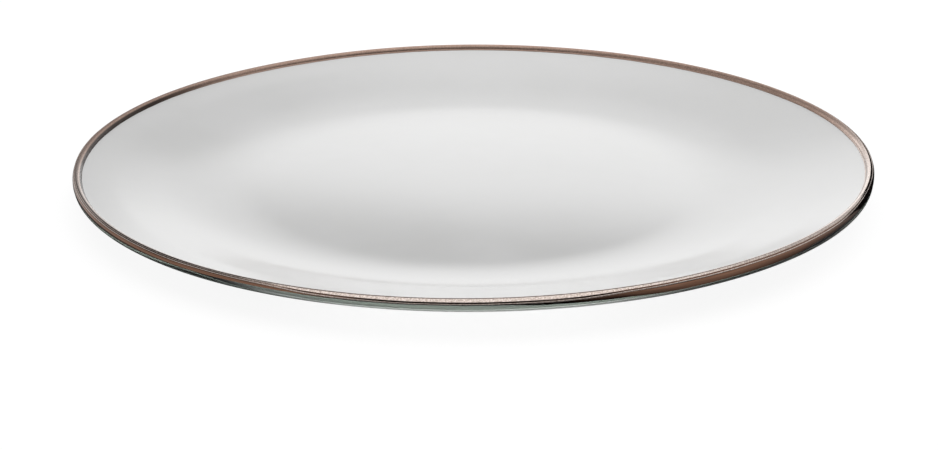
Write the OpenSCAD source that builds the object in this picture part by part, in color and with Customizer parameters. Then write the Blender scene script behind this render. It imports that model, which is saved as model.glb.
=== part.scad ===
// Charger plate: slumped glass, white enamel on the upper face, metal lustre round the lip.
// The origin is the middle of the ring that the plate stands on, with +Z up.

/* [Plate] */
// Diameter over the lustre on the outer edge
plate_d = 330; // [300:1:360]
// Thickness of the glass, square to its faces
glass_t = 3.5; // [3:0.1:5]
// Radius of the floor, which is pushed up in the middle
floor_r = 90; // [80:1:96]
// Slope of the floor at its edge in degrees, falling outwards
floor_angle = 2.9; // [1:0.1:3.5]
// Width of the turn-up round the floor
turn_w = 40; // [34:1:46]
// Slope where the turn-up runs into the rim in degrees, rising outwards
turn_angle = 13.2; // [10:0.2:14]
// Slope of the rim at the foot of the lip in degrees
rim_angle = 14.6; // [14.2:0.2:18]
// Depth ground flat on the ring that the plate stands on
rest_ground = 0.12; // [0.05:0.01:0.3]

/* [Lip] */
// Radius of the glass at the top and at the bottom of the lip
lip_r = 1.4; // [1.1:0.1:1.6]
// Radius of the hollow where the white face turns up into the lip
foot_r = 0.7; // [0.5:0.1:1.2]
// Steepest slope of the lip's inner side in degrees
lip_angle = 75; // [60:1:85]

/* [Coats] */
// Thickness of the white enamel
enamel_t = 0.3; // [0.2:0.05:0.5]
// Thickness of the metal lustre
lustre_t = 0.2; // [0.1:0.05:0.3]
// How far the enamel and the satin band reach past the top of the lip in degrees
satin_angle = 56; // [45:1:57]
// How far the bright edge runs down from the middle of the lip's round
bright_h = 0.5; // [0.3:0.05:1]

/* [Hidden] */
$fn = 180;
// Straight steps along each arc of an outline
arc_steps = 12;

plate_r = plate_d / 2;
// The lip's round: its middle lies one glass radius and one lustre inside the outer edge
lip_x = plate_r - lustre_t - lip_r;
lip_face_r = lip_r + enamel_t;
// The hollow at the lip's foot touches the rim's arc and the lip's round
foot_x = lip_x - (lip_face_r + foot_r) * sin(lip_angle) + foot_r * sin(rim_angle);

// Stations of the white face, from the middle outwards: radius and slope.
// Between two stations the face is one arc, so that it runs on smoothly at each of them.
FACE = [
    [0, 0],
    [floor_r, -floor_angle],
    [floor_r + turn_w, turn_angle],
    [foot_x, rim_angle],
];
last_arc = len(FACE) - 2;

// Radius of the arc that starts at station i
function bend_r(i) = (FACE[i + 1][0] - FACE[i][0]) / (sin(FACE[i + 1][1]) - sin(FACE[i][1]));

// Height of the white face at station i, over its middle
function face_z(i) =
    i == 0 ? 0 : face_z(i - 1) + bend_r(i - 1) * (cos(FACE[i - 1][1]) - cos(FACE[i][1]));

// Slopes along an arc, with or without its first one
function slopes(from, to, first) = [for (k = [first:arc_steps]) from + (to - from) * k / arc_steps];

// Points at one depth under the white face, from the middle to the foot of the lip
function face_points(depth) = concat(
    [[0, -depth]],
    [
        for (i = [0:last_arc])
            for (s = slopes(FACE[i][1], FACE[i + 1][1], 1))
                [
                    FACE[i][0] + bend_r(i) * (sin(s) - sin(FACE[i][1])) + depth * sin(s),
                    face_z(i) + bend_r(i) * (cos(FACE[i][1]) - cos(s)) - depth * cos(s),
                ]
    ]
);

// Points round a centre where the outline has the given slopes. A radius below zero makes a hollow
function round_points(centre, r, slope_list) = [for (s = slope_list) centre + r * [-sin(s), cos(s)]];

lip_z = face_z(last_arc + 1) + foot_r * cos(rim_angle) - (lip_face_r + foot_r) * cos(lip_angle);
lip_c = [lip_x, lip_z];
foot_c = lip_c + (lip_face_r + foot_r) * [-sin(lip_angle), cos(lip_angle)];

// Points at one depth under the enamel, up the hollow at the lip's foot and over the lip
function lip_points(depth, end_slope, first) = concat(
    round_points(foot_c, -foot_r - depth, slopes(rim_angle, lip_angle, first)),
    round_points(lip_c, lip_face_r - depth, slopes(lip_angle, end_slope, 1))
);

// The underside runs one glass thickness under the upper face, and meets the lip's lower round
under_depth = enamel_t + glass_t;
under_x = lip_x + lip_r * sin(rim_angle);
under_run = under_x - foot_x - under_depth * sin(rim_angle);
under_z = face_z(last_arc + 1) - under_depth * cos(rim_angle) + under_run * tan(rim_angle);
lip_low_c = [lip_x, under_z + lip_r * cos(rim_angle)];

// The lowest stretch of the underside is ground flat, and stands on the ground plane
low_z = face_z(1) + bend_r(1) * (cos(floor_angle) - 1) - under_depth;
lift = -low_z - rest_ground;

function reversed(list) = [for (i = [len(list) - 1:-1:0]) list[i]];

module turned(outline) {
    rotate_extrude()
        difference() {
            translate([0, lift])
                polygon(outline);
            translate([0, -under_depth])
                square([plate_r, under_depth]);
        }
}

module glass_body() {
    color([0.70, 0.78, 0.73, 0.7])
        turned(concat(
            face_points(enamel_t),
            lip_points(enamel_t, -90, 1),
            round_points(lip_low_c, lip_r, slopes(-90, rim_angle - 180, 0)),
            reversed(face_points(under_depth))
        ));
}

module white_enamel() {
    color([0.93, 0.93, 0.92])
        turned(concat(
            face_points(0),
            lip_points(0, -satin_angle, 1),
            reversed(lip_points(enamel_t, -satin_angle, 1)),
            reversed(face_points(enamel_t))
        ));
}

module satin_lustre_band() {
    color([0.67, 0.59, 0.55])
        turned(concat(
            lip_points(-lustre_t, -satin_angle, 0),
            reversed(lip_points(0, -satin_angle, 0))
        ));
}

module bright_lustre_edge() {
    color([0.46, 0.33, 0.26])
        turned(concat(
            round_points(lip_c, lip_r + lustre_t, slopes(-satin_angle, -90, 0)),
            [[plate_r, lip_z - bright_h], [plate_r - lustre_t, lip_z - bright_h]],
            reversed(round_points(lip_c, lip_r, slopes(-satin_angle, -90, 0)))
        ));
}

glass_body();
white_enamel();
satin_lustre_band();
bright_lustre_edge();
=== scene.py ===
# %% [markdown]
# A charger plate, dressed for its portrait.
#
# The plate is one disc of slumped glass. Its upper face is fired white enamel, and its round lip is
# painted with metal lustre: a grained satin band over the top and a bright line on the outer edge.
# The solids of the four pieces are loaded as a fixed frame, so that everything made here sits where
# they are, in metres.

# %% Load the solid pieces as the frame
import math
import bmesh
import bpy
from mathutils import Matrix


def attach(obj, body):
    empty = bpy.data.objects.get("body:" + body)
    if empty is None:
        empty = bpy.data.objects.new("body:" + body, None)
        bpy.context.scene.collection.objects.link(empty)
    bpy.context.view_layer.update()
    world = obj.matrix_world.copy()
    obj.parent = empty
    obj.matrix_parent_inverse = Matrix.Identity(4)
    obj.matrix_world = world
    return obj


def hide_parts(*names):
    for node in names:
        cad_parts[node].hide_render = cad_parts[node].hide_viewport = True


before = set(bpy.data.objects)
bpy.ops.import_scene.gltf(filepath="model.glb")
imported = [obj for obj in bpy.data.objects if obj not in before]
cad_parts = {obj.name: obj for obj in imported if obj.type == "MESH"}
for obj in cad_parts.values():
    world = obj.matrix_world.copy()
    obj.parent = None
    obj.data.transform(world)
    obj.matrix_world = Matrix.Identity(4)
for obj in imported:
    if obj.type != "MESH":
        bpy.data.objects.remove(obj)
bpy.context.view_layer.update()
print("solid pieces:", sorted(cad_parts))

# %% [markdown]
# Every layer of the plate follows one cross-section. The white face is three arcs that meet smoothly:
# a floor pushed up a little in the middle, the turn-up round it, and the rim. A small hollow leads up
# into the round lip. Each arc is given by the slope at its two ends, because a slope is what a
# reflection shows, and a layer at another depth keeps the same slopes and only moves along the normal.

# %% Sizes of the cross-section, in millimetres and degrees
PLATE_D = 330.0
GLASS_T = 3.5
FLOOR_R, FLOOR_SLOPE = 90.0, 2.9
TURN_W, TURN_SLOPE = 40.0, 13.2
RIM_SLOPE = 14.6
REST_GROUND = 0.12
LIP_R, FOOT_R, LIP_SLOPE = 1.4, 0.7, 75.0
ENAMEL_T, LUSTRE_T = 0.3, 0.2
# The enamel ends at this slope past the top of the lip, under the satin band
COAT_END = -15.0
# How deep a coat sinks into what carries it
SUNK = 0.03
# The lip isn't quite level. It leans up or down by at most LEAN. The lean starts at the radius LEAN_FROM,
# and the underside takes part in a share of it. UNEVEN lists (turn, height): a turn of 0 is on the left,
# 0.25 in front, 0.5 on the right and 0.75 at the back, and a height of 0 is all the way down and 1 all
# the way up
LEAN, LEAN_FROM, LEAN_BELOW = 1.7, 106.0, 0.35
UNEVEN = [(0.0, 0.03), (0.11, 0.1), (0.18, 0.27), (0.25, 0.47), (0.32, 0.73), (0.39, 0.9), (0.46, 0.83),
          (0.5, 0.72), (0.61, 0.48), (0.75, 0.4), (0.89, 0.06), (1.0, 0.03)]


def sin(degrees):
    return math.sin(math.radians(degrees))


def cos(degrees):
    return math.cos(math.radians(degrees))


LIP_X = PLATE_D / 2 - LUSTRE_T - LIP_R
LIP_FACE_R = LIP_R + ENAMEL_T
FOOT_X = LIP_X - (LIP_FACE_R + FOOT_R) * sin(LIP_SLOPE) + FOOT_R * sin(RIM_SLOPE)
STATIONS = [(0.0, 0.0), (FLOOR_R, -FLOOR_SLOPE), (FLOOR_R + TURN_W, TURN_SLOPE), (FOOT_X, RIM_SLOPE)]
print("the lip's foot is at a radius of", round(FOOT_X, 2), "mm")

# %% Points of the cross-section
ARC_STEPS = (14, 28, 12)
FOOT_STEPS, LIP_STEPS = 8, 18


def between(start, end, steps):
    return [start + (end - start) * k / steps for k in range(steps + 1)]


def face_outline(depth):
    """Radius and height at one depth under the white face, from the middle to the lip's foot."""
    points, z = [(0.0, -depth)], 0.0
    for (r0, s0), (r1, s1), steps in zip(STATIONS, STATIONS[1:], ARC_STEPS):
        bend = (r1 - r0) / (sin(s1) - sin(s0))
        for s in between(s0, s1, steps)[1:]:
            points.append((r0 + bend * (sin(s) - sin(s0)) + depth * sin(s),
                           z + bend * (cos(s0) - cos(s)) - depth * cos(s)))
        z += bend * (cos(s0) - cos(s1))
    return points


def round_outline(centre, radius, start, end, steps):
    """An arc given by the slope at its ends. A radius below zero makes a hollow."""
    return [(centre[0] - radius * sin(s), centre[1] + radius * cos(s)) for s in between(start, end, steps)]


FOOT_Z = face_outline(0.0)[-1][1]
LIP_Z = FOOT_Z + FOOT_R * cos(RIM_SLOPE) - (LIP_FACE_R + FOOT_R) * cos(LIP_SLOPE)
LIP_C = (LIP_X, LIP_Z)
FOOT_C = (LIP_X - (LIP_FACE_R + FOOT_R) * sin(LIP_SLOPE), LIP_Z + (LIP_FACE_R + FOOT_R) * cos(LIP_SLOPE))


def lip_outline(depth, end_slope):
    """The same depth carried on up the hollow and over the lip."""
    hollow = round_outline(FOOT_C, -FOOT_R - depth, RIM_SLOPE, LIP_SLOPE, FOOT_STEPS)
    over = round_outline(LIP_C, LIP_FACE_R - depth, LIP_SLOPE, end_slope, LIP_STEPS)
    return hollow + over[1:]


UNDER = ENAMEL_T + GLASS_T
under_x = LIP_X + LIP_R * sin(RIM_SLOPE)
under_run = under_x - FOOT_X - UNDER * sin(RIM_SLOPE)
under_z = FOOT_Z - UNDER * cos(RIM_SLOPE) + under_run * sin(RIM_SLOPE) / cos(RIM_SLOPE)
LOW_C = (LIP_X, under_z + LIP_R * cos(RIM_SLOPE))
LIFT = -min(z for r, z in face_outline(UNDER)) - REST_GROUND
print("the lip's middle stands", round(LIP_Z + LIFT, 2), "mm over the table")

# %% [markdown]
# Turning is what a potter's wheel or a lathe does: one outline goes round an axis. In Geometry Nodes this
# is a sweep of the outline along a circle. The tree also lets a painted edge wander: points of the
# outline that carry a slide are moved by an amount that changes round the plate, along a curve given
# point by point and a little fixed noise. The lip's lean is added in the same place. A spin in mesh code
# would give the round shape, but not the wandering edge, so one tree makes all four layers.

# %% The turning tree
SWEEP_R = 0.1
SECTION_INPUTS = [
    ("Segments", "NodeSocketInt"),
    ("Weld distance", "NodeSocketFloat"),
    ("Hand drawn slide", "NodeSocketFloat"),
    ("Shake", "NodeSocketFloat"),
    ("Shake scale", "NodeSocketFloat"),
    ("Lean", "NodeSocketFloat"),
    ("Finish", "NodeSocketMaterial"),
]


def place(tree, kind, at, inputs=None, **settings):
    """A node with its settings and plain input values."""
    node = tree.nodes.new(kind)
    node.location = at
    for name, value in settings.items():
        setattr(node, name, value)
    for name, value in (inputs or {}).items():
        node.inputs[name].default_value = value
    return node


def join(tree, *pairs):
    """Wires pairs of (node, output) and (node, input)."""
    for (a, out), (b, into) in pairs:
        tree.links.new(a.outputs[out], b.inputs[into])


def turning_tree(name, hand):
    """Sweeps an outline round the plate. hand lists (turn, slide) of its edge, from 0 to 1."""
    tree = bpy.data.node_groups.new(name, "GeometryNodeTree")
    tree.is_modifier = True
    tree.interface.new_socket("Outline", in_out="INPUT", socket_type="NodeSocketGeometry")
    for label, kind in SECTION_INPUTS:
        tree.interface.new_socket(label, in_out="INPUT", socket_type=kind)
    tree.interface.new_socket("Layer", in_out="OUTPUT", socket_type="NodeSocketGeometry")
    given = place(tree, "NodeGroupInput", (-900, 0))
    outline = place(tree, "GeometryNodeMeshToCurve", (-600, 200))
    ring = place(tree, "GeometryNodeCurvePrimitiveCircle", (-600, 0), {"Radius": SWEEP_R}, mode="RADIUS")
    sweep = place(tree, "GeometryNodeCurveToMesh", (-400, 100))
    spot = place(tree, "GeometryNodeInputPosition", (-900, -300))
    flat = place(tree, "ShaderNodeVectorMath", (-700, -300), {1: (1, 1, 0)}, operation="MULTIPLY")
    outward = place(tree, "ShaderNodeVectorMath", (-500, -300), operation="NORMALIZE")
    parts = place(tree, "ShaderNodeSeparateXYZ", (-500, -450))
    turn = place(tree, "ShaderNodeMath", (-300, -450), operation="ARCTAN2")
    share = place(tree, "ShaderNodeMapRange", (-100, -450), {"From Min": -math.pi, "From Max": math.pi})
    drawn = place(tree, "ShaderNodeFloatCurve", (100, -450))
    uneven = place(tree, "ShaderNodeFloatCurve", (100, -950))
    for curve, marks in ((drawn, hand), (uneven, UNEVEN)):
        line = curve.mapping.curves[0]
        line.points[0].location, line.points[1].location = marks[0], marks[-1]
        for point in marks[1:-1]:
            line.points.new(*point)
        curve.mapping.update()
    rise = place(tree, "ShaderNodeMapRange", (350, -950), {"To Min": -1.0}, clamp=False)
    drawn_mm = place(tree, "ShaderNodeMath", (350, -450), operation="MULTIPLY")
    noise = place(tree, "ShaderNodeTexNoise", (-100, -750), {"Detail": 3.0, "Roughness": 0.6})
    shake = place(tree, "ShaderNodeMath", (100, -750), {1: 0.5}, operation="SUBTRACT")
    shake_mm = place(tree, "ShaderNodeMath", (350, -750), operation="MULTIPLY")
    amount = place(tree, "ShaderNodeMath", (550, -500), operation="ADD")
    slide = place(tree, "GeometryNodeInputNamedAttribute", (-100, -200), {"Name": "slide"},
                  data_type="FLOAT_VECTOR")
    slide_parts = place(tree, "ShaderNodeSeparateXYZ", (100, -200))
    out_move = place(tree, "ShaderNodeVectorMath", (350, -150), operation="SCALE")
    up_move = place(tree, "ShaderNodeCombineXYZ", (350, -300))
    move = place(tree, "ShaderNodeVectorMath", (550, -200), operation="ADD")
    offset = place(tree, "ShaderNodeVectorMath", (750, -300), operation="SCALE")
    lean = place(tree, "ShaderNodeMath", (350, -600), operation="MULTIPLY")
    lean_mm = place(tree, "ShaderNodeMath", (550, -650), operation="MULTIPLY")
    lean_up = place(tree, "ShaderNodeCombineXYZ", (750, -600))
    leaned = place(tree, "ShaderNodeVectorMath", (850, -300), operation="ADD")
    moved = place(tree, "GeometryNodeSetPosition", (950, 100))
    welded = place(tree, "GeometryNodeMergeByDistance", (1150, 100))
    real = place(tree, "GeometryNodeRealizeInstances", (1350, 100))
    finish = place(tree, "GeometryNodeSetMaterial", (1550, 100))
    made = place(tree, "NodeGroupOutput", (1750, 100))
    join(tree, ((given, "Outline"), (outline, "Mesh")), ((given, "Segments"), (ring, "Resolution")),
         ((ring, "Curve"), (sweep, "Curve")), ((outline, "Curve"), (sweep, "Profile Curve")),
         ((spot, "Position"), (flat, 0)), ((flat, "Vector"), (outward, 0)),
         ((outward, "Vector"), (parts, "Vector")), ((parts, "Y"), (turn, 0)), ((parts, "X"), (turn, 1)),
         ((turn, "Value"), (share, "Value")), ((share, "Result"), (drawn, "Value")),
         ((drawn, "Value"), (drawn_mm, 0)), ((given, "Hand drawn slide"), (drawn_mm, 1)),
         ((outward, "Vector"), (noise, "Vector")), ((given, "Shake scale"), (noise, "Scale")),
         ((noise, 0), (shake, 0)), ((shake, "Value"), (shake_mm, 0)), ((given, "Shake"), (shake_mm, 1)),
         ((drawn_mm, "Value"), (amount, 0)), ((shake_mm, "Value"), (amount, 1)),
         ((slide, "Attribute"), (slide_parts, "Vector")), ((outward, "Vector"), (out_move, 0)),
         ((slide_parts, "X"), (out_move, "Scale")), ((slide_parts, "Y"), (up_move, "Z")),
         ((out_move, "Vector"), (move, 0)), ((up_move, "Vector"), (move, 1)),
         ((move, "Vector"), (offset, 0)), ((amount, "Value"), (offset, "Scale")),
         ((sweep, "Mesh"), (moved, "Geometry")), ((share, "Result"), (uneven, "Value")),
         ((uneven, "Value"), (rise, "Value")), ((rise, "Result"), (lean, 0)),
         ((slide_parts, "Z"), (lean, 1)), ((lean, "Value"), (lean_mm, 0)),
         ((given, "Lean"), (lean_mm, 1)), ((lean_mm, "Value"), (lean_up, "Z")),
         ((offset, "Vector"), (leaned, 0)), ((lean_up, "Vector"), (leaned, 1)),
         ((leaned, "Vector"), (moved, "Offset")), ((moved, "Geometry"), (welded, "Geometry")),
         ((given, "Weld distance"), (welded, "Distance")), ((welded, "Geometry"), (real, "Geometry")),
         ((real, "Geometry"), (finish, "Geometry")), ((given, "Finish"), (finish, "Material")),
         ((finish, "Geometry"), (made, "Layer")))
    return tree


print("inputs of the turning tree:", [label for label, kind in SECTION_INPUTS])

# %% Turn an outline into a finished piece
SEGMENTS, WELD, SHARP = 360, 1e-5, 40.0
EVEN = [(0.0, 0.0), (1.0, 0.0)]


def lean_share(r, z):
    """How much of the lip's uneven height a point of the outline takes part in."""
    out = min(max((r - LEAN_FROM) / (FOOT_X - LEAN_FROM), 0.0), 1.0)
    down = min(max((LIP_Z - z) / GLASS_T, 0.0), 1.0)
    return out * (1 - (1 - LEAN_BELOW) * down)


def turned_piece(name, outline, closed, finish, slides=None, hand=EVEN, reach=0.0, shake=0.0,
                 shake_scale=6.0):
    """outline lists (radius, height) in mm. slides maps a point of it to the way its painted edge moves."""
    mesh = bpy.data.meshes.new(name)
    count = len(outline)
    edges = [(i, i + 1) for i in range(count - 1)] + ([(count - 1, 0)] if closed else [])
    # The sweep lays the outline's Y axis downwards
    mesh.from_pydata([(r / 1000 - SWEEP_R, -(z + LIFT) / 1000, 0) for r, z in outline], edges, [])
    ways = mesh.attributes.new("slide", "FLOAT_VECTOR", "POINT")
    for i, point in enumerate(outline):
        ways.data[i].vector = (*(slides or {}).get(i, (0.0, 0.0)), lean_share(*point))
    piece = bpy.data.objects.new(name, mesh)
    bpy.context.scene.collection.objects.link(piece)
    tree = turning_tree(name + "_turning", hand)
    turning = piece.modifiers.new("turning", "NODES")
    turning.node_group = tree
    values = {"Segments": SEGMENTS, "Weld distance": WELD, "Hand drawn slide": reach / 1000,
              "Shake": shake / 1000, "Shake scale": shake_scale, "Lean": LEAN / 1000, "Finish": finish}
    for socket in tree.interface.items_tree:
        if socket.in_out == "INPUT" and socket.name in values:
            turning[socket.identifier] = values[socket.name]
    evaluated = piece.evaluated_get(bpy.context.evaluated_depsgraph_get())
    turned = bpy.data.meshes.new_from_object(evaluated)
    piece.modifiers.remove(turning)
    piece.data = turned
    turned.name = name
    shell = bmesh.new()
    shell.from_mesh(turned)
    bmesh.ops.recalc_face_normals(shell, faces=shell.faces)
    volume = shell.calc_volume(signed=True) * 1e6
    open_edges = sum(1 for e in shell.edges if not e.is_manifold)
    shell.to_mesh(turned)
    shell.free()
    turned.polygons.foreach_set("use_smooth", [True] * len(turned.polygons))
    turned.set_sharp_from_angle(angle=math.radians(SHARP))
    print(f"{name}: {len(turned.polygons)} faces, {volume:.2f} cm3, {open_edges} open edges")
    return piece


print("each piece has", SEGMENTS, "segments round the plate")

# %% [markdown]
# A finish is not one flat colour. Fired enamel has faint clouds and a slight ripple, lustre has a grain
# of fine specks and the streaks of the brush that laid it round the plate. Grain and streaks are used by
# more than one finish, so each is a node group, placed in each material with its own values.

# %% Shared effects: grain and brush streaks
def effect_group(name, inputs, outputs):
    """An empty node group with a place on the plate, the given sizes and the given outputs."""
    group = bpy.data.node_groups.new(name, "ShaderNodeTree")
    group.interface.new_socket("Place", in_out="INPUT", socket_type="NodeSocketVector")
    for label, value in inputs:
        socket = group.interface.new_socket(label, in_out="INPUT", socket_type="NodeSocketFloat")
        socket.default_value = value
    for label in outputs:
        group.interface.new_socket(label, in_out="OUTPUT", socket_type="NodeSocketFloat")
    return group, place(group, "NodeGroupInput", (-900, 0)), place(group, "NodeGroupOutput", (900, 0))


def fired_grain():
    """Specks of a fired coat, with their size in millimetres, and broad clouds."""
    group, given, made = effect_group("fired_grain", [("Speck mm", 0.4), ("Cloud mm", 30.0)],
                                      ["Specks", "Clouds"])
    for row, (size, out, detail) in enumerate((("Speck mm", "Specks", 4.0), ("Cloud mm", "Clouds", 3.0))):
        scale = place(group, "ShaderNodeMath", (-600, -300 * row), {0: 1000.0}, operation="DIVIDE")
        noise = place(group, "ShaderNodeTexNoise", (-300, -300 * row), {"Detail": detail, "Roughness": 0.6})
        join(group, ((given, size), (scale, 1)), ((scale, "Value"), (noise, "Scale")),
             ((given, "Place"), (noise, "Vector")), ((noise, 0), (made, out)))
    return group


def brush_streaks():
    """Streaks that run round the plate, with their length and width in millimetres."""
    group, given, made = effect_group("brush_streaks", [("Length mm", 12.0), ("Width mm", 0.3)],
                                      ["Streaks"])
    flat = place(group, "ShaderNodeVectorMath", (-700, 200), {1: (1, 1, 0)}, operation="MULTIPLY")
    heading = place(group, "ShaderNodeVectorMath", (-500, 200), operation="NORMALIZE")
    turns = place(group, "ShaderNodeMath", (-500, 0), {0: PLATE_D / 2}, operation="DIVIDE")
    along = place(group, "ShaderNodeVectorMath", (-300, 200), operation="SCALE")
    reach = place(group, "ShaderNodeVectorMath", (-500, -200), operation="LENGTH")
    parts = place(group, "ShaderNodeSeparateXYZ", (-700, -300))
    across = place(group, "ShaderNodeMath", (-300, -250), operation="SUBTRACT")
    lines = place(group, "ShaderNodeMath", (-500, -450), {0: 1000.0}, operation="DIVIDE")
    row = place(group, "ShaderNodeMath", (-100, -250), operation="MULTIPLY")
    noise = place(group, "ShaderNodeTexNoise", (200, 0), {"Scale": 1.0, "Detail": 3.0},
                  noise_dimensions="4D")
    join(group, ((given, "Place"), (flat, 0)), ((flat, "Vector"), (heading, 0)),
         ((given, "Length mm"), (turns, 1)), ((heading, "Vector"), (along, 0)),
         ((turns, "Value"), (along, "Scale")), ((flat, "Vector"), (reach, 0)),
         ((given, "Place"), (parts, "Vector")), ((reach, "Value"), (across, 0)),
         ((parts, "Z"), (across, 1)), ((given, "Width mm"), (lines, 1)), ((across, "Value"), (row, 0)),
         ((lines, "Value"), (row, 1)), ((along, "Vector"), (noise, "Vector")),
         ((row, "Value"), (noise, "W")), ((noise, 0), (made, "Streaks")))
    return group


GRAIN, STREAKS = fired_grain(), brush_streaks()
print("shared effects:", GRAIN.name, STREAKS.name)


# %% Helpers that all finishes use
def bare_material(name):
    """A material with nothing in its tree yet."""
    material = bpy.data.materials.new(name)
    material.use_nodes = True
    material.node_tree.nodes.clear()
    return material


def new_finish(name):
    """A material with its Principled shader and the object's own coordinates."""
    material = bare_material(name)
    tree = material.node_tree
    shader = place(tree, "ShaderNodeBsdfPrincipled", (600, 0))
    out = place(tree, "ShaderNodeOutputMaterial", (900, 0))
    where = place(tree, "ShaderNodeTexCoord", (-900, 0))
    join(tree, ((shader, "BSDF"), (out, "Surface")))
    return material, tree, shader, out, where


def effect(tree, group, where, at, **sizes):
    """A shared effect with its sizes for one finish."""
    node = place(tree, "ShaderNodeGroup", at, node_tree=group)
    for label, value in sizes.items():
        node.inputs[label.replace("_", " ")].default_value = value
    join(tree, ((where, "Object"), (node, "Place")))
    return node


def two_colours(tree, source, out, low, high, at, start=0.35, end=0.65):
    """A colour between low and high, by a noise value that mostly lies between start and end."""
    ramp = place(tree, "ShaderNodeValToRGB", at)
    ramp.color_ramp.elements[0].position, ramp.color_ramp.elements[1].position = start, end
    ramp.color_ramp.elements[0].color, ramp.color_ramp.elements[1].color = (*low, 1), (*high, 1)
    join(tree, ((source, out), (ramp, "Fac")))
    return ramp


def two_values(tree, source, out, low, high, at, start=0.35, end=0.65):
    """A value between low and high, by another that goes from start to end."""
    sizes = {"From Min": start, "From Max": end, "To Min": low, "To Max": high}
    span = place(tree, "ShaderNodeMapRange", at, sizes)
    join(tree, ((source, out), (span, "Value")))
    return span


def soft_step(tree, at, start, end, low=0.0, high=1.0):
    """The same with a soft start and end, and its Value still to be joined."""
    sizes = {"From Min": start, "From Max": end, "To Min": low, "To Max": high}
    return place(tree, "ShaderNodeMapRange", at, sizes, interpolation_type="SMOOTHSTEP")


def ripple(tree, source, out, shader, height_mm, at):
    """A bump of a given real height."""
    bump = place(tree, "ShaderNodeBump", at, {"Strength": 1.0, "Distance": height_mm / 1000})
    join(tree, ((source, out), (bump, "Height")), ((bump, "Normal"), (shader, "Normal")))


print("materials so far:", len(bpy.data.materials))

# %% [markdown]
# The white coat is opaque enamel, glossy because it melted in the kiln. Its white is a little uneven, and
# its gloss has faint clouds. Most of what the eye reads on it is the studio mirrored in it, which changes
# with the slope of the face, so the colour itself stays plain.

# %% White enamel
ENAMEL_IOR = 1.5


def white_enamel_finish():
    material, tree, shader, out, where = new_finish("white_enamel")
    shader.inputs["IOR"].default_value = ENAMEL_IOR
    grain = effect(tree, GRAIN, where, (-600, 0), Speck_mm=1.2, Cloud_mm=45.0)
    colour = two_colours(tree, grain, "Clouds", (0.785, 0.785, 0.78), (0.805, 0.805, 0.802), (-200, 200))
    gloss = two_values(tree, grain, "Clouds", 0.11, 0.16, (-200, -100))
    join(tree, ((colour, "Color"), (shader, "Base Color")), ((gloss, "Result"), (shader, "Roughness")))
    ripple(tree, grain, "Specks", shader, 0.0006, (200, -300))
    return material


print("white enamel: refractive index", ENAMEL_IOR)

# %% [markdown]
# Lustre is a metal film painted on with a brush and fired. Over the lip it dries to a satin band with a
# visible grain, pinkish taupe. Its colour is painted darker and browner towards the back, as painted shade,
# and its gloss is duller there. Along its inner edge on the left, painted shade darkens it nearly to black.
# Both follow the place on the plate, so they are masks on the object's own coordinates, laid over the
# grain.

# %% Satin lustre
# Painted shade: the colour darkens towards the back along BACK_SHADE_WAY, from BACK_SHADE_START to
# BACK_SHADE_FULL in metres, and the film gets rougher there by BACK_DULL
BACK_SHADE_WAY = (-0.1, 0.995, 0.0)
BACK_SHADE_START, BACK_SHADE_FULL, BACK_DULL = -0.05, 0.05, 0.42
# The painted shade on the left comes in from LEFT_SHADE_TO to LEFT_SHADE_FROM in X. It is faint outside the
# radius LEFT_SHADE_R, and full from LEFT_SHADE_SOFT inside it
LEFT_SHADE_TO, LEFT_SHADE_FROM, LEFT_SHADE_R, LEFT_SHADE_SOFT = -0.1, -0.145, 0.1624, 0.0005
LEFT_SHADE_FAINT, LEFT_SHADE_FULL = 0.12, 0.95
LEFT_SHADE_COLOUR = (0.02, 0.015, 0.013, 1)


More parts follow.
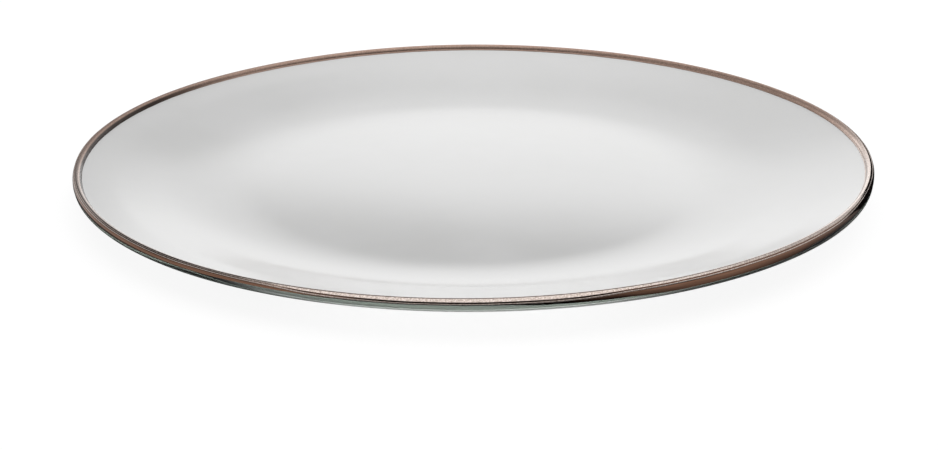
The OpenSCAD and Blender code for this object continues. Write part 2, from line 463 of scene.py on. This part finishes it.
def satin_lustre_finish():
    material, tree, shader, out, where = new_finish("satin_lustre")
    shader.inputs["Metallic"].default_value = 1.0
    grain = effect(tree, GRAIN, where, (-600, 200), Speck_mm=0.5, Cloud_mm=9.0)
    streaks = effect(tree, STREAKS, where, (-600, -200), Length_mm=10.0, Width_mm=0.35)
    satin_colour = two_colours(tree, grain, "Specks", (0.36, 0.295, 0.26), (0.70, 0.61, 0.56), (-200, 400))
    # The second, darker colour is the satin with painted shade, for the back of the band
    shaded_colour = two_colours(tree, grain, "Specks", (0.285, 0.195, 0.156), (0.50, 0.355, 0.29), (-200, 200))
    # Painted shade towards the back of the band
    reach = place(tree, "ShaderNodeVectorMath", (-600, -500), {1: BACK_SHADE_WAY}, operation="DOT_PRODUCT")
    back = soft_step(tree, (-400, -500), BACK_SHADE_START, BACK_SHADE_FULL)
    film = place(tree, "ShaderNodeMix", (200, 300), data_type="RGBA")
    join(tree, ((where, "Object"), (reach, 0)), ((reach, "Value"), (back, "Value")),
         ((back, 0), (film, 0)), ((satin_colour, "Color"), (film, 6)), ((shaded_colour, "Color"), (film, 7)))
    # Painted shade along the inner edge on the left
    parts = place(tree, "ShaderNodeSeparateXYZ", (-600, -700))
    left = soft_step(tree, (-400, -700), LEFT_SHADE_TO, LEFT_SHADE_FROM)
    flat = place(tree, "ShaderNodeVectorMath", (-800, -900), {1: (1, 1, 0)}, operation="MULTIPLY")
    radius = place(tree, "ShaderNodeVectorMath", (-600, -900), operation="LENGTH")
    inner = two_values(tree, radius, "Value", LEFT_SHADE_FAINT, LEFT_SHADE_FULL, (-400, -900), LEFT_SHADE_R,
                       LEFT_SHADE_R - LEFT_SHADE_SOFT)
    left_shade = place(tree, "ShaderNodeMath", (-200, -800), operation="MULTIPLY")
    shaded_edge = place(tree, "ShaderNodeMix", (400, 300), {7: LEFT_SHADE_COLOUR}, data_type="RGBA")
    join(tree, ((where, "Object"), (parts, 0)), ((parts, "X"), (left, "Value")),
         ((where, "Object"), (flat, 0)), ((flat, 0), (radius, 0)), ((left, 0), (left_shade, 0)),
         ((inner, 0), (left_shade, 1)), ((left_shade, 0), (shaded_edge, 0)), ((film, 2), (shaded_edge, 6)),
         ((shaded_edge, 2), (shader, "Base Color")))
    # Streaks of the brush in the gloss
    polish = two_values(tree, streaks, "Streaks", 0.05, 0.14, (-200, -200))
    rough = place(tree, "ShaderNodeMath", (200, -100), {1: BACK_DULL}, operation="MULTIPLY_ADD")
    join(tree, ((back, 0), (rough, 0)), ((polish, "Result"), (rough, 2)),
         ((rough, 0), (shader, "Roughness")))
    ripple(tree, grain, "Specks", shader, 0.0045, (200, -300))
    return material


# The distance printed is where the painted shade at the back of the band is full
print("satin lustre: thicker from", round(1000 * BACK_SHADE_FULL), "mm behind the middle")

# %% [markdown]
# On the bare outer edge the film fires bright and darker, like old copper. Its colour has the streaks.

# %% Bright lustre
BRIGHT_ROUGH = (0.08, 0.2)


def bright_lustre_finish():
    material, tree, shader, out, where = new_finish("bright_lustre")
    shader.inputs["Metallic"].default_value = 1.0
    grain = effect(tree, GRAIN, where, (-600, 200), Speck_mm=0.6, Cloud_mm=14.0)
    streaks = effect(tree, STREAKS, where, (-600, -200), Length_mm=18.0, Width_mm=0.25)
    colour = two_colours(tree, streaks, "Streaks", (0.15, 0.078, 0.05), (0.23, 0.125, 0.085), (-200, 200))
    rough = two_values(tree, grain, "Clouds", *BRIGHT_ROUGH, (-200, -200))
    join(tree, ((colour, "Color"), (shader, "Base Color")), ((rough, "Result"), (shader, "Roughness")))
    ripple(tree, grain, "Specks", shader, 0.004, (200, -300))
    return material


print("bright lustre: roughness", BRIGHT_ROUGH)

# %% [markdown]
# The glass is ordinary soda-lime sheet. Through its face it looks clear, but along the sheet, at the
# edge, the light has a long way to go and comes out green. That is absorption, which needs a volume, so
# the glass has one beside its clear surface. The ring that the plate stands on is ground, so it is dull.

# %% Pale green glass
GLASS_IOR, GLASS_DENSITY = 1.52, 6.5
# The ring is dull up to the first of these heights in metres, and clear from the second
DULL_TO, CLEAR_FROM, GROUND_ROUGH = 0.00004, 0.00016, 0.42


def green_glass_finish():
    material, tree, shader, out, where = new_finish("pale_green_glass")
    shader.inputs["Base Color"].default_value = (0.95, 0.97, 0.955, 1)
    shader.inputs["Transmission Weight"].default_value = 1.0
    shader.inputs["IOR"].default_value = GLASS_IOR
    grain = effect(tree, GRAIN, where, (-600, 0), Speck_mm=2.5, Cloud_mm=35.0)
    height = place(tree, "ShaderNodeSeparateXYZ", (-600, -300))
    ground = two_values(tree, height, "Z", GROUND_ROUGH, 0.0, (-400, -300), DULL_TO, CLEAR_FROM)
    polish = two_values(tree, grain, "Clouds", 0.005, 0.03, (-200, -100))
    gloss = place(tree, "ShaderNodeMath", (100, -200), operation="ADD")
    join(tree, ((where, "Object"), (height, "Vector")), ((polish, "Result"), (gloss, 0)),
         ((ground, "Result"), (gloss, 1)), ((gloss, "Value"), (shader, "Roughness")))
    ripple(tree, grain, "Specks", shader, 0.0015, (300, -400))
    tint = place(tree, "ShaderNodeVolumeAbsorption", (600, -500),
                 {"Color": (0.74, 0.82, 0.75, 1), "Density": GLASS_DENSITY})
    join(tree, ((tint, "Volume"), (out, "Volume")))
    return material


print("glass: refractive index", GLASS_IOR)

# %% [markdown]
# Now the four layers. The glass outline runs out along the upper face, round the lip and back along the
# underside to the axis. The coats are thin closed skins on it, and each sinks a hair into what
# carries it, so that no light slips between them.

# %% Glass body and white enamel
def grounded(points):
    """Points of the underside, flat where the ring is ground."""
    return [(r, max(z, -LIFT)) for r, z in points]


glass_outline = (face_outline(ENAMEL_T) + lip_outline(ENAMEL_T, -90)[1:]
                 + round_outline(LOW_C, LIP_R, -90, RIM_SLOPE - 180, LIP_STEPS)
                 + grounded(reversed(face_outline(UNDER))))
glass = turned_piece("plate_glass", glass_outline, False, green_glass_finish())

enamel_under = ENAMEL_T + SUNK
enamel_outline = (face_outline(0) + lip_outline(0, COAT_END)[1:]
                  + lip_outline(enamel_under, COAT_END)[:0:-1] + face_outline(enamel_under)[::-1])
enamel = turned_piece("plate_enamel", enamel_outline, False, white_enamel_finish())

# %% [markdown]
# The satin band ends a little past the top of the lip with a small round edge. A thin gap follows, and
# then a fine bead that the brush left behind. The outline runs up the lip's inner side, over the top, down
# through the gap and round the bead, and back under the film.

# %% Outline of the satin band and its bead
# Radii are from the lip's middle, and places on the lip are slopes. A TURN is the first and last slope of
# a small round
BAND_END, BAND_R, BAND_ROUND, BAND_TURN, BAND_STEPS = -17.0, 1.75, 0.15, (-32.0, -122.0), 6
GAP_R, GAP_STARTS, GAP_ENDS = 1.57, -22.5, -27.0
BEAD_AT, BEAD_MIDDLE, BEAD_R, BEAD_TURN, BEAD_STEPS = -37.0, 1.62, 0.27, (48.0, -137.0), 14
SEAT_R, SEAT_AT = 1.5, -30.0


def on_lip(radius, slope):
    """The point at this radius from the lip's middle where a round has this slope."""
    return round_outline(LIP_C, radius, slope, slope, 1)[0]


band_end = round_outline(on_lip(BAND_R, BAND_END), BAND_ROUND, *BAND_TURN, BAND_STEPS)
gap = [on_lip(GAP_R, GAP_STARTS), on_lip(GAP_R, GAP_ENDS)]
bead = round_outline(on_lip(BEAD_MIDDLE, BEAD_AT), BEAD_R, *BEAD_TURN, BEAD_STEPS)
satin_edge = band_end + gap + bead + [on_lip(SEAT_R, SEAT_AT)]
satin_top = lip_outline(-LUSTRE_T, BAND_END)
satin_outline = satin_top + satin_edge + lip_outline(SUNK, COAT_END)[::-1]
print("satin band:", len(satin_outline), "points in its outline")

# %% [markdown]
# Where the edge is painted lower, the band, the gap and the bead slide down round the lip together, and
# the bead sinks a little, so that it doesn't stand off the lip. The film's inner edge slides inwards over
# the white face by the same amount.

# %% Satin band over the lip
SLIDE_TURN, SLIDE_FROM, SLIDE = 17.0, 20.0, 1.7
BEAD_SINK, SINK_SLOPE = 0.1, 18.0
INNER = 1.8
SATIN_REACH, SATIN_SHAKE, SATIN_SHAKE_SCALE = 0.9, 0.2, 9.0


def along(slope):
    """The way a point slides when the edge is painted lower: round the lip, more towards the edge."""
    part = min(max((slope - SLIDE_FROM) / (BAND_END - SLIDE_FROM), 0.0), 1.0)
    return (SLIDE * part * cos(slope - SLIDE_TURN * part), SLIDE * part * sin(slope - SLIDE_TURN * part))


over_first = len(satin_top) - LIP_STEPS
over_slopes = between(LIP_SLOPE, BAND_END, LIP_STEPS)[1:]
satin_slides = {over_first + k: along(slope) for k, slope in enumerate(over_slopes)}
satin_slides.update({len(satin_top) + k: along(BEAD_AT) for k in range(len(satin_edge))})
bead_first = len(satin_top) + len(band_end) + len(gap)
bead_out, bead_up = along(BEAD_AT)
bead_way = (bead_out - BEAD_SINK * cos(SINK_SLOPE), bead_up - BEAD_SINK * sin(SINK_SLOPE))
satin_slides.update({bead_first + k: bead_way for k in range(len(bead))})
inward = (-INNER * cos(RIM_SLOPE), -INNER * sin(RIM_SLOPE))
satin_slides.update({0: inward, len(satin_outline) - 1: inward})
satin_hand = [(0.0, 0.0), (0.15, 0.0), (0.17, 0.1), (0.2, 0.75), (0.25, 0.95), (0.28, 0.95), (0.305, 0.57),
              (0.34, 0.47), (0.37, 0.46), (0.4, 0.45), (0.43, 0.2), (0.46, 0.0), (0.56, 0.0), (0.6, 0.3),
              (0.75, 0.25), (1.0, 0.0)]
satin = turned_piece("lip_satin_band", satin_outline, True, satin_lustre_finish(), satin_slides, satin_hand,
                     SATIN_REACH, SATIN_SHAKE, SATIN_SHAKE_SCALE)

# %% Bright line on the outer edge
BRIGHT_START, BRIGHT_TURN, BRIGHT_STEPS, BRIGHT_HIGH = -19.0, -84.0, 8, 0.1
BRIGHT_REACH, BRIGHT_SHAKE, BRIGHT_SHAKE_SCALE = 2.4, 0.35, 14.0
DOWN = (0.0, -1.0)
bright_round = round_outline(LIP_C, LIP_R + LUSTRE_T, BRIGHT_START, BRIGHT_TURN, BRIGHT_STEPS)
bright_under = round_outline(LIP_C, LIP_R - SUNK, BRIGHT_START, BRIGHT_TURN, BRIGHT_STEPS)
bright_end = LIP_Z + BRIGHT_HIGH
bright_outline = (bright_round + [(PLATE_D / 2, bright_end), (PLATE_D / 2 - LUSTRE_T - SUNK, bright_end)]
                  + bright_under[::-1])
bright_hand = [(0.0, 0.3), (0.07, 0.3), (0.115, 0.18), (0.145, 0.13), (0.165, 0.03), (0.195, 0.15),
               (0.25, 0.18), (0.274, 0.5), (0.305, 0.68), (0.34, 0.95), (0.37, 0.95), (0.397, 0.57),
               (0.45, 0.5), (0.7, 0.4), (1.0, 0.3)]
lower = len(bright_round)
bright = turned_piece("lip_bright_edge", bright_outline, True, bright_lustre_finish(),
                      {lower: DOWN, lower + 1: DOWN}, bright_hand, BRIGHT_REACH, BRIGHT_SHAKE,
                      BRIGHT_SHAKE_SCALE)

# %% [markdown]
# Each layer now hides the solid it stands for and says which one that is. The plate has no moving
# parts, so everything rides on the one body.

# %% Tie the layers to the frame
LAYERS = [
    (glass, "glass_body", "pale_green_glass"),
    (enamel, "white_enamel", "white_enamel"),
    (satin, "satin_lustre_band", "satin_lustre"),
    (bright, "bright_lustre_edge", "bright_lustre"),
]
for piece, node, slot in LAYERS:
    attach(piece, "root")
    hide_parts(node)
    print(piece.name, "stands for", node)

# %% [markdown]
# The camera stands about a metre away, a little under 20 degrees up. A long lens that far away keeps the
# ellipse of the plate nearly true. The plate sits above the middle of the picture, so the camera aims
# lower.

# %% Camera
CAMERA_REACH, CAMERA_UP = 1.074, 18.55
FOCAL_PX, FRAME_W, FRAME_H = 2582.0, 938, 450
AIM_X, AIM_Y = 473.4, 157.2
view = bpy.data.cameras.new("camera")
camera = bpy.data.objects.new("camera", view)
bpy.context.scene.collection.objects.link(camera)
view.sensor_fit, view.sensor_width = "HORIZONTAL", 36.0
view.lens = view.sensor_width * FOCAL_PX / FRAME_W
view.clip_start, view.clip_end = 0.05, 50.0
aim_height = (FOOT_Z + LIFT) / 1000
camera.location = (0, -CAMERA_REACH * cos(CAMERA_UP), aim_height + CAMERA_REACH * sin(CAMERA_UP))
tip = CAMERA_UP + math.degrees(math.atan((FRAME_H / 2 - AIM_Y) / FOCAL_PX))
swing = math.atan((AIM_X - FRAME_W / 2) / FOCAL_PX)
camera.rotation_euler = (math.radians(90 - tip), 0, swing)
bpy.context.scene.camera = camera
print("lens:", round(view.lens, 1), "mm, tipped down", round(tip, 2), "degrees")

# %% [markdown]
# The floor is a plain pale sheet. To the camera and in reflections it is white paper: most of its white
# is its own glow, and the rest is left to the lamps, so that the plate's shadow still falls on it. Under
# and beside the plate, on the left and on the right, its glow is taken away for metal and glass: painted
# shade that stands in for the plate's shadow there, and darkens the lower edge of the glass.

# %% Floor
FLOOR_HALF = 4.0
PAPER, SHADED_PAPER, PAPER_GLOW = 0.9, 0.16, 0.91
# Where the painted shade starts and is full on both sides, and how far from the middle it is full and ends
SIDE_FROM, SIDE_FULL = 0.03, 0.08
SHADE_FULL, SHADE_END = 0.18, 0.23


def stage_sheet(name, points, faces, material):
    """A sheet or two of the stage, which isn't part of the plate."""
    mesh = bpy.data.meshes.new(name)
    mesh.from_pydata(points, [], faces)
    mesh.materials.append(material)
    sheet = bpy.data.objects.new(name, mesh)
    bpy.context.scene.collection.objects.link(sheet)
    return sheet


def level_corners(x0, x1, y0, y1, z):
    """The corners of a level sheet."""
    return [(x0, y0, z), (x1, y0, z), (x1, y1, z), (x0, y1, z)]


paper = bare_material("white_paper")
tree = paper.node_tree
sight = place(tree, "ShaderNodeLightPath", (-600, 0))
seen = place(tree, "ShaderNodeMath", (-400, 0), operation="MAXIMUM")
seen_all = place(tree, "ShaderNodeMath", (-200, 0), operation="MAXIMUM")
plain = place(tree, "ShaderNodeBsdfDiffuse", (-200, -200), {"Color": (*[PAPER] * 3, 1)})
shaded = place(tree, "ShaderNodeBsdfDiffuse", (-200, -350), {"Color": (*[SHADED_PAPER] * 3, 1)})
where = place(tree, "ShaderNodeTexCoord", (-1400, -600))
across = place(tree, "ShaderNodeSeparateXYZ", (-1200, -500))
aside = place(tree, "ShaderNodeMath", (-1000, -500), operation="ABSOLUTE")
away = place(tree, "ShaderNodeVectorMath", (-1200, -750), operation="LENGTH")
# Painted shade: the floor's glow is taken away for metal and glass under and beside the plate
at_side = soft_step(tree, (-800, -500), SIDE_FROM, SIDE_FULL)
near = soft_step(tree, (-1000, -750), SHADE_FULL, SHADE_END, 1.0, 0.0)
shade = place(tree, "ShaderNodeMath", (-800, -750), operation="MULTIPLY")
unseen = place(tree, "ShaderNodeMath", (-600, -600), operation="SUBTRACT")
glow = place(tree, "ShaderNodeMapRange", (-400, -600), {"To Min": PAPER_GLOW, "To Max": 0.0})
white = place(tree, "ShaderNodeEmission", (-200, -500))
both = place(tree, "ShaderNodeAddShader", (0, -400))
pick = place(tree, "ShaderNodeMixShader", (200, 0))
paper_out = place(tree, "ShaderNodeOutputMaterial", (400, 0))
join(tree, ((where, "Object"), (across, 0)), ((across, "X"), (aside, 0)),
     ((aside, 0), (at_side, "Value")), ((where, "Object"), (away, 0)), ((away, "Value"), (near, "Value")),
     ((at_side, 0), (shade, 0)), ((near, 0), (shade, 1)), ((shade, 0), (unseen, 0)),
     ((sight, "Is Camera Ray"), (unseen, 1)), ((unseen, 0), (glow, "Value")),
     ((glow, 0), (white, "Strength")))
join(tree, ((sight, "Is Camera Ray"), (seen, 0)), ((sight, "Is Glossy Ray"), (seen, 1)),
     ((seen, 0), (seen_all, 0)), ((sight, "Is Transmission Ray"), (seen_all, 1)),
     ((seen_all, 0), (pick, 0)), ((plain, 0), (pick, 1)), ((shaded, 0), (both, 0)),
     ((white, 0), (both, 1)), ((both, 0), (pick, 2)), ((pick, 0), (paper_out, "Surface")))
floor_corners = level_corners(-FLOOR_HALF, FLOOR_HALF, -FLOOR_HALF, FLOOR_HALF, 0)
floor = stage_sheet("floor", floor_corners, [(0, 1, 2, 3)], paper)
print("floor:", 2 * FLOOR_HALF, "m wide")

# %% [markdown]
# The light is a soft studio: large pale panels round and over the plate, drawn in the world's own nodes.
# Each panel has a heading and a height as seen from the plate, in degrees, with soft borders and a
# strength. A softbox hangs overhead and has a flap on the right. Pale walls stand on the right, on the
# left and in front on the left, and a grey wall at the back. The camera itself sees plain white in place
# of the room.

# %% Studio panels
PANEL_INPUTS = ("Heading", "Height", "Half width", "Half height", "Side blur", "Top blur", "Strength")


def panel_group():
    """One panel: the light that it sends from the direction Toward."""
    group = bpy.data.node_groups.new("soft_panel", "ShaderNodeTree")
    group.interface.new_socket("Toward", in_out="INPUT", socket_type="NodeSocketVector")
    for label in PANEL_INPUTS:
        group.interface.new_socket(label, in_out="INPUT", socket_type="NodeSocketFloat")
    group.interface.new_socket("Light", in_out="OUTPUT", socket_type="NodeSocketFloat")
    given = place(group, "NodeGroupInput", (-1200, 0))
    made = place(group, "NodeGroupOutput", (900, 0))
    parts = place(group, "ShaderNodeSeparateXYZ", (-1000, 0))
    across = place(group, "ShaderNodeMath", (-800, 100), operation="ARCTAN2")
    across_deg = place(group, "ShaderNodeMath", (-600, 100), operation="DEGREES")
    up = place(group, "ShaderNodeMath", (-800, -200), operation="ARCSINE")
    up_deg = place(group, "ShaderNodeMath", (-600, -200), operation="DEGREES")
    join(group, ((given, "Toward"), (parts, 0)), ((parts, "X"), (across, 0)), ((parts, "Y"), (across, 1)),
         ((across, 0), (across_deg, 0)), ((parts, "Z"), (up, 0)), ((up, 0), (up_deg, 0)))
    masks = []
    for row, (angle, middle, half, blur) in enumerate(((across_deg, "Heading", "Half width", "Side blur"),
                                                       (up_deg, "Height", "Half height", "Top blur"))):
        y = 100 - 300 * row
        off = place(group, "ShaderNodeMath", (-400, y), operation="SUBTRACT")
        around = place(group, "ShaderNodeMath", (-250, y), {1: -180.0, 2: 180.0}, operation="WRAP")
        far = place(group, "ShaderNodeMath", (-100, y), operation="ABSOLUTE")
        start = place(group, "ShaderNodeMath", (-100, y - 120), operation="SUBTRACT")
        end = place(group, "ShaderNodeMath", (-100, y - 200), operation="ADD")
        soft = soft_step(group, (100, y), 0.0, 1.0, 1.0, 0.0)
        join(group, ((angle, 0), (off, 0)), ((given, middle), (off, 1)), ((off, 0), (around, 0)),
             ((around, 0), (far, 0)), ((given, half), (start, 0)), ((given, blur), (start, 1)),
             ((given, half), (end, 0)), ((given, blur), (end, 1)), ((far, 0), (soft, "Value")),
             ((start, 0), (soft, "From Min")), ((end, 0), (soft, "From Max")))
        masks.append(soft)
    both = place(group, "ShaderNodeMath", (400, 0), operation="MULTIPLY")
    light = place(group, "ShaderNodeMath", (600, 0), operation="MULTIPLY")
    join(group, ((masks[0], 0), (both, 0)), ((masks[1], 0), (both, 1)), ((both, 0), (light, 0)),
         ((given, "Strength"), (light, 1)), ((light, 0), (made, "Light")))
    return group


PANEL = panel_group()
print("panel inputs:", PANEL_INPUTS)

# %% Studio
# What each panel is, and then its inputs in the order of PANEL_INPUTS
PANELS = [
    ("overhead softbox", 0, 90, 180, 34, 1, 6, 1.68),
    ("softbox flap on the right", 76, 51, 104, 5, 10, 6, 1.3),
    ("pale wall on the right", 62, 20, 50, 26, 8, 6, 0.95),
    ("pale wall on the left", -50, 12, 30, 14, 8, 5, 0.95),
    ("taller wall in front on the left", -112, 16, 32, 21, 8, 5, 0.95),
    ("grey wall at the back", 8, 11.8, 19, 11.8, 6, 3, 0.6),
]
# What is left of the light between the panels
GLOOM = 0.03
studio = bpy.data.worlds.new("studio")
bpy.context.scene.world = studio
studio.use_nodes = True
tree = studio.node_tree
tree.nodes.clear()
toward = place(tree, "ShaderNodeTexCoord", (-900, 0))
total = None
for row, (label, *values) in enumerate(PANELS):
    lamp = place(tree, "ShaderNodeGroup", (-600, -250 * row), node_tree=PANEL, label=label)
    for name, value in zip(PANEL_INPUTS, values):
        lamp.inputs[name].default_value = value
    more = place(tree, "ShaderNodeMath", (-200, -250 * row), {0: GLOOM}, operation="ADD")
    join(tree, ((toward, "Generated"), (lamp, "Toward")), ((lamp, 0), (more, 1)))
    if row:
        join(tree, ((total, 0), (more, 0)))
    total = more
sky = place(tree, "ShaderNodeBackground", (100, 0))
blank = place(tree, "ShaderNodeBackground", (100, 150), {"Color": (1, 1, 1, 1), "Strength": 1.0})
sight = place(tree, "ShaderNodeLightPath", (100, 400))
pick = place(tree, "ShaderNodeMixShader", (300, 0))
sky_out = place(tree, "ShaderNodeOutputWorld", (500, 0))
join(tree, ((total, 0), (sky, "Strength")), ((sight, "Is Camera Ray"), (pick, 0)), ((sky, 0), (pick, 1)),
     ((blank, 0), (pick, 2)), ((pick, 0), (sky_out, "Surface")))
bpy.context.scene.view_settings.view_transform = "Standard"
print("panels:", [p[0] for p in PANELS])

# %% [markdown]
# What gives the white face its bright middle and the dark crescent in front is a glowing scrim that
# stands close behind the plate. The face mirrors it where it is nearly level, and mirrors the dark room
# over it where it leans towards the camera. The scrim fades out towards its top, which is lower on the
# left, and is a little dimmer at its foot and on the left. The back wall shines through it. Neither the
# camera nor the glass sees it, and it throws no shadow.

# %% Glowing scrim behind the plate
CARD_Y, CARD_LEFT, CARD_RIGHT, CARD_LOW, CARD_TOP = 0.235, -0.22, 0.205, 0.001, 0.19
FADE_FROM, FADE_TO, FADE_LEAN = 0.095, 0.158, -0.26
DIM = 0.8
DIM_FOOT, FULL_FOOT = 0.005, 0.055
DIM_SIDE, FULL_SIDE = -0.19, -0.02
glowing = bare_material("card_glow")
tree = glowing.node_tree
where = place(tree, "ShaderNodeTexCoord", (-900, 0))
parts = place(tree, "ShaderNodeSeparateXYZ", (-700, 0))
left = place(tree, "ShaderNodeMath", (-600, -100), {1: 0.0}, operation="MINIMUM")
lean = place(tree, "ShaderNodeMath", (-450, -100), {1: FADE_LEAN}, operation="MULTIPLY")
level = place(tree, "ShaderNodeMath", (-300, -100), operation="ADD")
fade = soft_step(tree, (-100, -100), FADE_FROM, FADE_TO, 1.0, 0.0)
foot = two_values(tree, parts, "Z", DIM, 1.0, (-100, 150), DIM_FOOT, FULL_FOOT)
side = two_values(tree, parts, "X", DIM, 1.0, (-100, 400), DIM_SIDE, FULL_SIDE)
soft = place(tree, "ShaderNodeMath", (100, 0), operation="MULTIPLY")
strength = place(tree, "ShaderNodeMath", (300, 0), operation="MULTIPLY")
shine = place(tree, "ShaderNodeEmission", (500, 0))
clear = place(tree, "ShaderNodeBsdfTransparent", (500, -150))
scrim = place(tree, "ShaderNodeAddShader", (700, 0))
glow_out = place(tree, "ShaderNodeOutputMaterial", (900, 0))
join(tree, ((where, "Object"), (parts, 0)), ((parts, "X"), (left, 0)), ((left, 0), (lean, 0)),
     ((lean, 0), (level, 0)), ((parts, "Z"), (level, 1)), ((level, 0), (fade, "Value")),
     ((fade, 0), (soft, 0)), ((foot, 0), (soft, 1)), ((soft, 0), (strength, 0)),
     ((side, 0), (strength, 1)), ((strength, 0), (shine, "Strength")), ((shine, 0), (scrim, 0)),
     ((clear, 0), (scrim, 1)), ((scrim, 0), (glow_out, "Surface")))
card_corners = [(CARD_LEFT, CARD_Y, CARD_LOW), (CARD_RIGHT, CARD_Y, CARD_LOW),
                (CARD_RIGHT, CARD_Y, CARD_TOP), (CARD_LEFT, CARD_Y, CARD_TOP)]
card = stage_sheet("white_card", card_corners, [(0, 1, 2, 3)], glowing)
card.visible_camera = False
card.visible_shadow = False
card.visible_transmission = False
print("scrim:", round(1000 * (CARD_RIGHT - CARD_LEFT)), "mm wide")

# %% [markdown]
# A black card lies on the floor in front of the plate. Only what mirrors sees it: the bright edge turns
# black there, between its two brown sides.

# %% Black card in front
# The card is black up to DARK_HALF on both sides, and fades out at DARK_SOFT
DARK_HALF, DARK_SOFT, DARK_NEAR, DARK_FAR, DARK_Z = 0.06, 0.14, -0.163, -0.7, 0.0004
BLACK = (0.01, 0.01, 0.01, 1)


def only_in_mirrors(sheet):
    """Hides a sheet from everything but reflections."""
    sheet.visible_camera = False
    sheet.visible_diffuse = False
    sheet.visible_transmission = False
    sheet.visible_shadow = False


velvet = bare_material("black_velvet")
tree = velvet.node_tree
where = place(tree, "ShaderNodeTexCoord", (-900, 0))
parts = place(tree, "ShaderNodeSeparateXYZ", (-700, 0))
aside = place(tree, "ShaderNodeMath", (-500, 0), operation="ABSOLUTE")
edge = soft_step(tree, (-300, 0), DARK_HALF, DARK_SOFT)
black = place(tree, "ShaderNodeBsdfDiffuse", (-100, 100), {"Color": BLACK})
clear = place(tree, "ShaderNodeBsdfTransparent", (-100, -100))
pick = place(tree, "ShaderNodeMixShader", (100, 0))
velvet_out = place(tree, "ShaderNodeOutputMaterial", (300, 0))
join(tree, ((where, "Object"), (parts, 0)), ((parts, "X"), (aside, 0)), ((aside, 0), (edge, "Value")),
     ((edge, 0), (pick, 0)), ((black, 0), (pick, 1)), ((clear, 0), (pick, 2)),
     ((pick, 0), (velvet_out, "Surface")))
dark_corners = level_corners(-DARK_SOFT, DARK_SOFT, DARK_FAR, DARK_NEAR, DARK_Z)
dark_card = stage_sheet("black_card", dark_corners, [(0, 1, 2, 3)], velvet)
only_in_mirrors(dark_card)
print("black card:", round(2000 * DARK_SOFT), "mm wide")

# %% [markdown]
# A black flag stands behind the plate on the right, on a black sheet that lies on the floor. The sheet is
# painted shade: it carries the floor's shade out beside the plate. Again only what mirrors sees them. They
# draw the black outer line of the lip there.

# %% Black flag on the right
FLAG_FROM, FLAG_TO, FLAG_TOP = (0.2, 0.21), (0.4, 0.1), 0.12
FLOOR_SHADE_SHEET = (0.12, 0.45, -0.03, 0.3)
cloth = bare_material("black_cloth_and_shade")
tree = cloth.node_tree
black = place(tree, "ShaderNodeBsdfDiffuse", (-100, 0), {"Color": BLACK})
cloth_out = place(tree, "ShaderNodeOutputMaterial", (100, 0))
join(tree, ((black, 0), (cloth_out, "Surface")))
stand = [(*FLAG_FROM, 0), (*FLAG_TO, 0), (*FLAG_TO, FLAG_TOP), (*FLAG_FROM, FLAG_TOP)]
# The lying sheet is painted shade on the floor beside the plate, seen only in mirrors
flag_points = level_corners(*FLOOR_SHADE_SHEET, DARK_Z) + stand
flag = stage_sheet("black_flag_and_shade_sheet", flag_points, [(0, 1, 2, 3), (4, 5, 6, 7)], cloth)
only_in_mirrors(flag)
print("black flag:", round(1000 * FLAG_TOP), "mm high")
